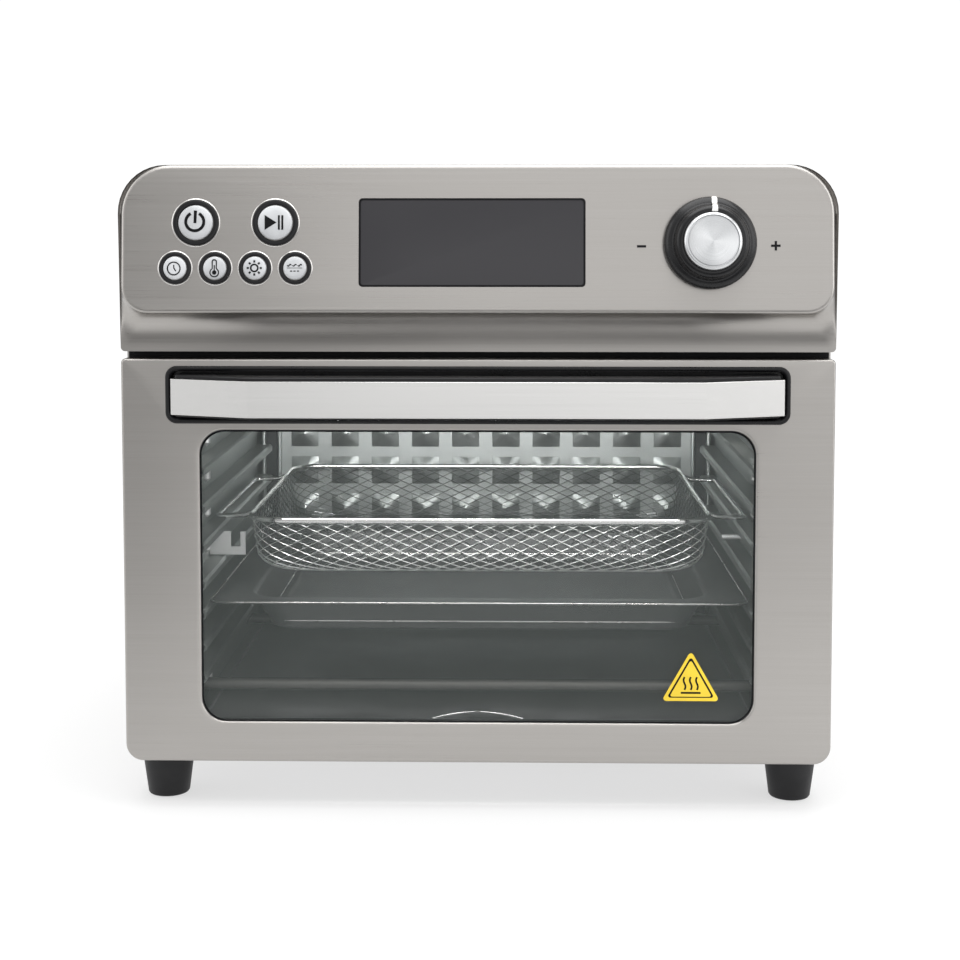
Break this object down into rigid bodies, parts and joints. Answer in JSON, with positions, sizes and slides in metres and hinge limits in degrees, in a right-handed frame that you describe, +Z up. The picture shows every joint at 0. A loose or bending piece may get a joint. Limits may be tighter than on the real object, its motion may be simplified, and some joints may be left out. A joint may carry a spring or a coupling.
{
  "type": "toaster oven",
  "caption": "Countertop toaster oven with a bottom-hinged glass door, bar handle, tilted control panel with buttons, display and knob, air-fry basket, baking pan and crumb tray.",
  "frame": {"origin": "on the worktop under the middle of the oven (bounding box bottom centre)", "axes": "+X to the right of someone facing the door, +Y from the door to the back, +Z up"},
  "size_m": [0.4, 0.3826, 0.366],
  "materials": {
    "brushed_steel": "brushed, fine horizontal grain",
    "chromed_wire": "bright chromed wire and expanded mesh",
    "dark_steel": "plain pressed steel, satin",
    "cavity_sheet": "aluminised sheet, satin",
    "pan_enamel": "dark non-stick enamel",
    "satin_silver": "satin spun or brushed aluminium",
    "heater_tube": "matt sheath of a heating element",
    "button_silver": "satin silver caps with black symbols",
    "black_plastic": "satin black moulding",
    "door_glass": "clear tempered, slight grey-green tint",
    "lamp_glass": "frosted heat-proof lens",
    "display_lens": "dark smoked window",
    "circuit_board": "green laminate",
    "foot_rubber": "matt black"
  },
  "bodies": {
    "oven_body": {"base_plate": "dark_steel", "button_carrier": "black_plastic", "cavity_back_wall": "cavity_sheet", "cavity_ceiling": "cavity_sheet", "cavity_floor": "cavity_sheet", "cavity_left_wall": "cavity_sheet", "cavity_right_wall": "cavity_sheet", "control_board": "circuit_board", "control_box": "black_plastic", "control_fascia": "brushed_steel", "cord_gland": "black_plastic", "display_lens": "display_lens", "display_module": "black_plastic", "encoder": "dark_steel", "fan_grille": "brushed_steel", "fan_housing": "dark_steel", "fan_motor": "dark_steel", "foot_front_left": "foot_rubber", "foot_front_right": "foot_rubber", "foot_rear_left": "foot_rubber", "foot_rear_right": "foot_rubber", "front_frame": "dark_steel", "heater_lower_front": "heater_tube", "heater_lower_rear": "heater_tube", "heater_upper_front": "heater_tube", "heater_upper_rear": "heater_tube", "hinge_bracket_left": "brushed_steel", "hinge_bracket_right": "brushed_steel", "hinge_spring_left": "dark_steel", "hinge_spring_right": "dark_steel", "lamp_lens": "lamp_glass", "lamp_socket": "satin_silver", "outer_wrap": "brushed_steel", "power_board": "circuit_board", "rear_cover": "dark_steel", "spit_bracket": "brushed_steel", "temperature_sensor": "satin_silver"},
    "fan": {"fan_blade": "brushed_steel"},
    "door": {"door_panel": "brushed_steel", "door_inner_frame": "dark_steel", "door_glass": "door_glass", "handle_bezel": "black_plastic", "handle_body": "black_plastic", "handle_plate": "satin_silver", "hinge_arm_left": "dark_steel", "hinge_arm_right": "dark_steel", "hinge_barrel_left": "dark_steel", "hinge_barrel_right": "dark_steel"},
    "knob": {"knob_body": "black_plastic", "knob_cap": "satin_silver"},
    "basket": {"basket_shell": "chromed_wire", "basket_rim": "chromed_wire"},
    "pan": {"baking_pan": "pan_enamel"},
    "tray": {"crumb_tray": "brushed_steel"},
    "button_power_cap": {"button_power": "button_silver"},
    "button_start_pause_cap": {"button_start_pause": "button_silver"},
    "button_timer_cap": {"button_timer": "button_silver"},
    "button_temperature_cap": {"button_temperature": "button_silver"},
    "button_light_cap": {"button_light": "button_silver"},
    "button_mode_cap": {"button_mode": "button_silver"}
  },
  "joints": [
    {"name": "door_hinge", "type": "hinge", "parent": "oven_body", "child": "door", "pos_m": [0, -0.15315, 0.033], "axis": [1, 0, 0], "range_deg": [0, 84], "stiffness_Nm_per_rad": 0.5, "springref_deg": -17.19},
    {"name": "knob_turn", "type": "hinge", "parent": "oven_body", "child": "knob", "pos_m": [0.128, -0.17117, 0.32261], "axis": [0, -0.9962, 0.0872], "continuous": true},
    {"name": "fan_spin", "type": "hinge", "parent": "oven_body", "child": "fan", "pos_m": [0, -0.00115, 0.25], "axis": [0, 0, 1], "continuous": true},
    {"name": "basket_slide", "type": "slide", "parent": "oven_body", "child": "basket", "axis": [0, -1, 0], "range_m": [0, 0.187]},
    {"name": "pan_slide", "type": "slide", "parent": "oven_body", "child": "pan", "axis": [0, -1, 0], "range_m": [0, 0.162]},
    {"name": "crumb_tray_slide", "type": "slide", "parent": "oven_body", "child": "tray", "axis": [0, -1, 0], "range_m": [0, 0.027]},
    {"name": "button_power_press", "type": "slide", "parent": "oven_body", "child": "button_power_cap", "axis": [0, 0.9962, -0.0872], "range_m": [0, 0.0015], "stiffness_N_per_m": 250},
    {"name": "button_start_pause_press", "type": "slide", "parent": "oven_body", "child": "button_start_pause_cap", "axis": [0, 0.9962, -0.0872], "range_m": [0, 0.0015], "stiffness_N_per_m": 250},
    {"name": "button_timer_press", "type": "slide", "parent": "oven_body", "child": "button_timer_cap", "axis": [0, 0.9962, -0.0872], "range_m": [0, 0.0015], "stiffness_N_per_m": 250},
    {"name": "button_temperature_press", "type": "slide", "parent": "oven_body", "child": "button_temperature_cap", "axis": [0, 0.9962, -0.0872], "range_m": [0, 0.0015], "stiffness_N_per_m": 250},
    {"name": "button_light_press", "type": "slide", "parent": "oven_body", "child": "button_light_cap", "axis": [0, 0.9962, -0.0872], "range_m": [0, 0.0015], "stiffness_N_per_m": 250},
    {"name": "button_mode_press", "type": "slide", "parent": "oven_body", "child": "button_mode_cap", "axis": [0, 0.9962, -0.0872], "range_m": [0, 0.0015], "stiffness_N_per_m": 250}
  ],
  "couplings": [
    {"joint": "basket_slide", "follows": "door_hinge", "m_per_rad": 0.127},
    {"joint": "pan_slide", "follows": "door_hinge", "m_per_rad": 0.11},
    {"joint": "crumb_tray_slide", "follows": "door_hinge", "m_per_rad": 0.018}
  ]
}
